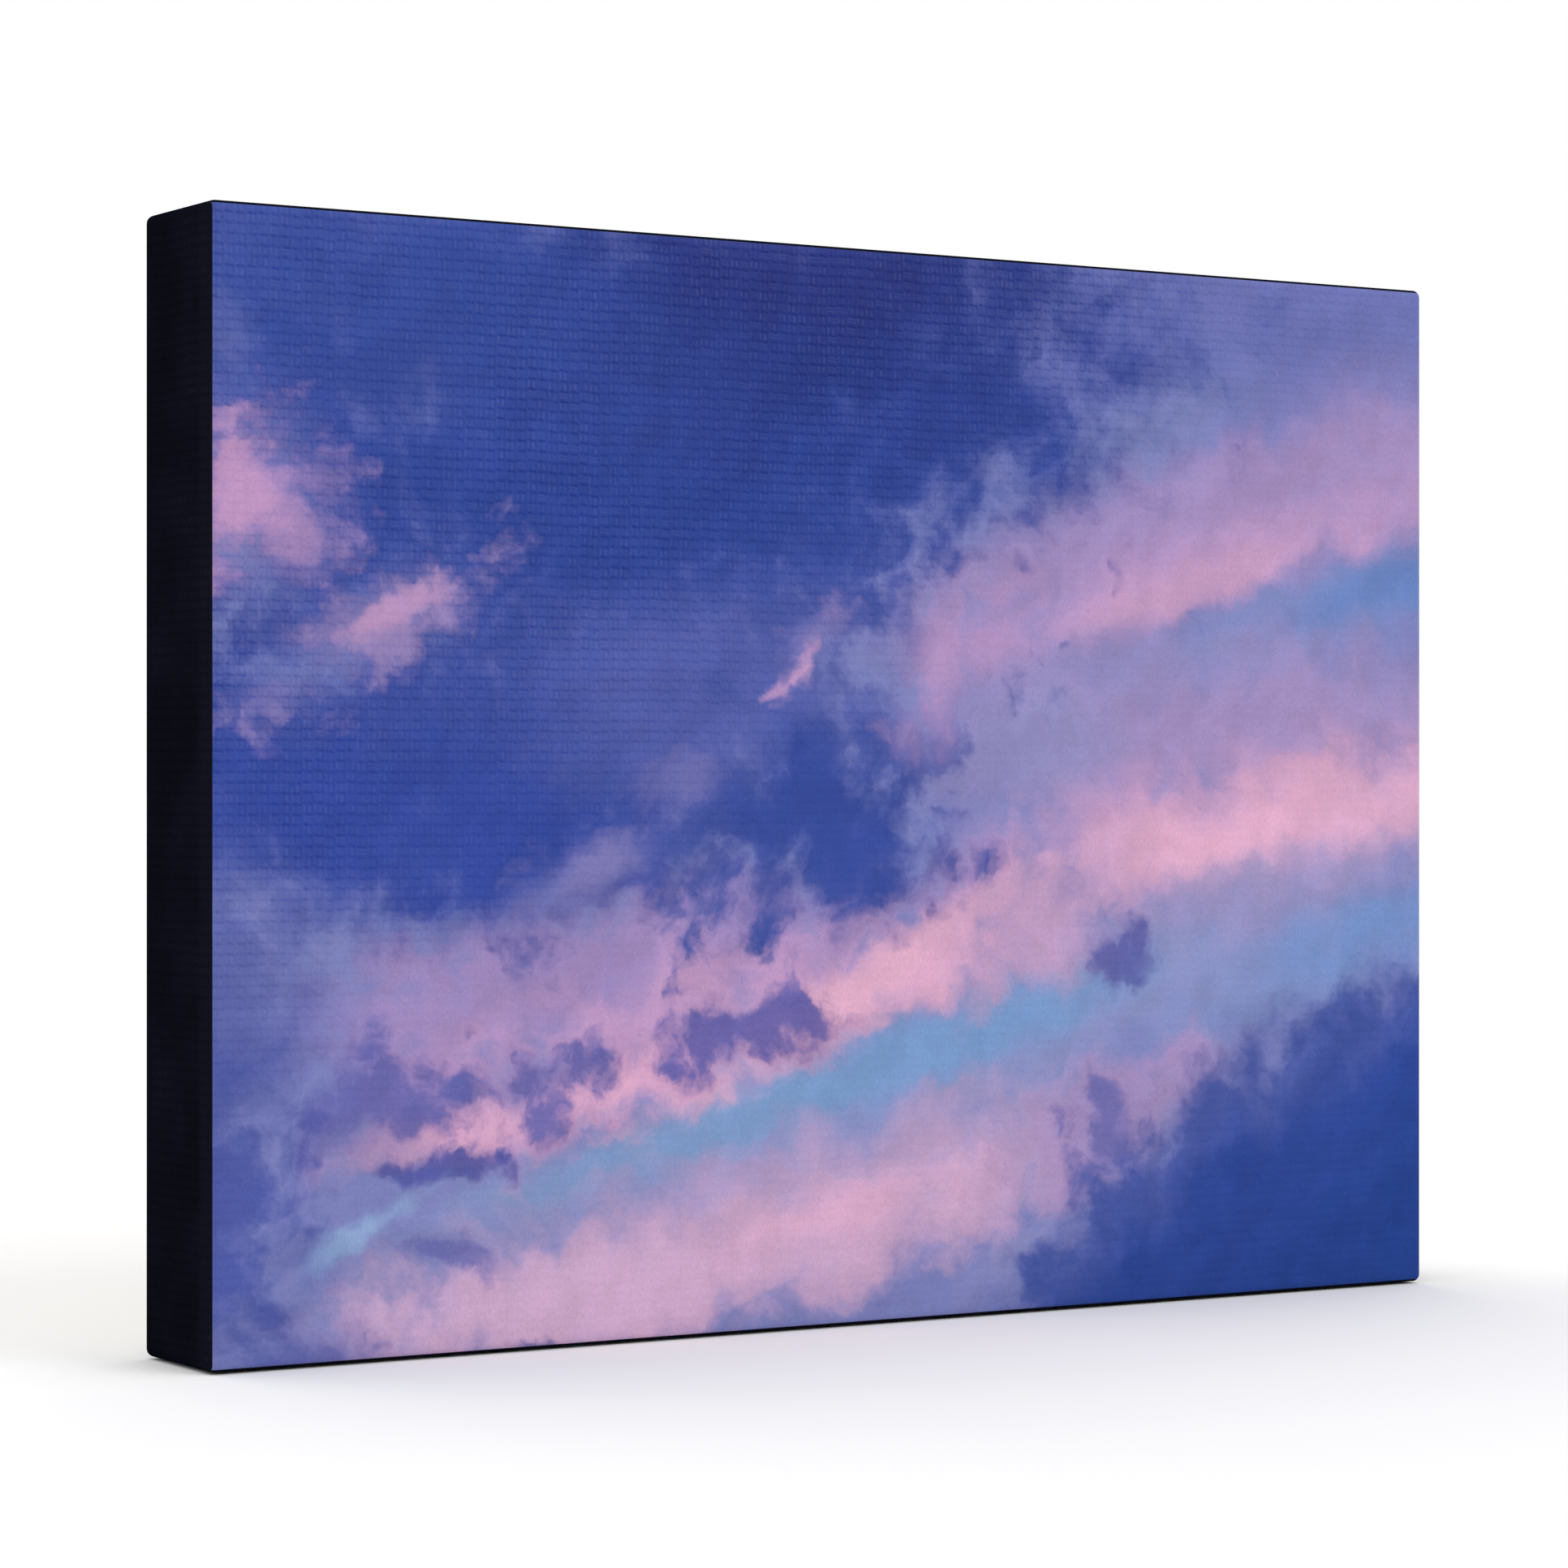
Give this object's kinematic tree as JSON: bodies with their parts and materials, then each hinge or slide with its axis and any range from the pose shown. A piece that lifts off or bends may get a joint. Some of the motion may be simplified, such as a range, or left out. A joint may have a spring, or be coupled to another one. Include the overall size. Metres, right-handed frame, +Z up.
{
  "type": "stretched canvas",
  "caption": "Landscape printed canvas stretched over a deep pine frame, with corner keys, stapled back, a sawtooth hanger and wall bumpers.",
  "frame": {"origin": "middle of the flat bottom side that the canvas stands on, half way through its depth", "axes": "+X across the picture, to the right as seen from the front; the picture faces -Y and +Y points to the back; +Z up"},
  "size_m": [0.3048, 0.0339, 0.2286],
  "materials": {
    "printed_canvas": "matte",
    "stretcher_pine": "matte",
    "key_beech": "matte",
    "staple_steel": "satin",
    "hanger_brass": "satin",
    "nail_brass": "satin",
    "bumper_rubber": "matte"
  },
  "bodies": {
    "frame": {"canvas": "printed_canvas", "bar_bottom": "stretcher_pine", "bar_right": "stretcher_pine", "bar_top": "stretcher_pine", "bar_left": "stretcher_pine", "staple_bottom_1": "staple_steel", "staple_bottom_2": "staple_steel", "staple_bottom_3": "staple_steel", "staple_bottom_4": "staple_steel", "staple_bottom_5": "staple_steel", "staple_bottom_6": "staple_steel", "staple_right_1": "staple_steel", "staple_right_2": "staple_steel", "staple_right_3": "staple_steel", "staple_right_4": "staple_steel", "staple_top_1": "staple_steel", "staple_top_2": "staple_steel", "staple_top_3": "staple_steel", "staple_top_4": "staple_steel", "staple_top_5": "staple_steel", "staple_top_6": "staple_steel", "staple_left_1": "staple_steel", "staple_left_2": "staple_steel", "staple_left_3": "staple_steel", "staple_left_4": "staple_steel", "hanger": "hanger_brass", "hanger_nail_left": "nail_brass", "hanger_nail_right": "nail_brass", "bumper_left": "bumper_rubber", "bumper_right": "bumper_rubber"},
    "key_bottom_right": {"key_bottom_right": "key_beech"},
    "key_bottom_left": {"key_bottom_left": "key_beech"},
    "key_right_upper": {"key_right_upper": "key_beech"},
    "key_right_lower": {"key_right_lower": "key_beech"},
    "key_top_left": {"key_top_left": "key_beech"},
    "key_top_right": {"key_top_right": "key_beech"},
    "key_left_lower": {"key_left_lower": "key_beech"},
    "key_left_upper": {"key_left_upper": "key_beech"}
  },
  "joints": [
    {"name": "key_bottom_right_slide", "type": "slide", "parent": "frame", "child": "key_bottom_right", "axis": [0, 0, 1], "range_m": [0, 0.018]},
    {"name": "key_bottom_left_slide", "type": "slide", "parent": "frame", "child": "key_bottom_left", "axis": [0, 0, 1], "range_m": [0, 0.018]},
    {"name": "key_right_upper_slide", "type": "slide", "parent": "frame", "child": "key_right_upper", "axis": [-1, 0, 0], "range_m": [0, 0.018]},
    {"name": "key_right_lower_slide", "type": "slide", "parent": "frame", "child": "key_right_lower", "axis": [-1, 0, 0], "range_m": [0, 0.018]},
    {"name": "key_top_left_slide", "type": "slide", "parent": "frame", "child": "key_top_left", "axis": [0, 0, -1], "range_m": [0, 0.018]},
    {"name": "key_top_right_slide", "type": "slide", "parent": "frame", "child": "key_top_right", "axis": [0, 0, -1], "range_m": [0, 0.018]},
    {"name": "key_left_lower_slide", "type": "slide", "parent": "frame", "child": "key_left_lower", "axis": [1, 0, 0], "range_m": [0, 0.018]},
    {"name": "key_left_upper_slide", "type": "slide", "parent": "frame", "child": "key_left_upper", "axis": [1, 0, 0], "range_m": [0, 0.018]}
  ]
}
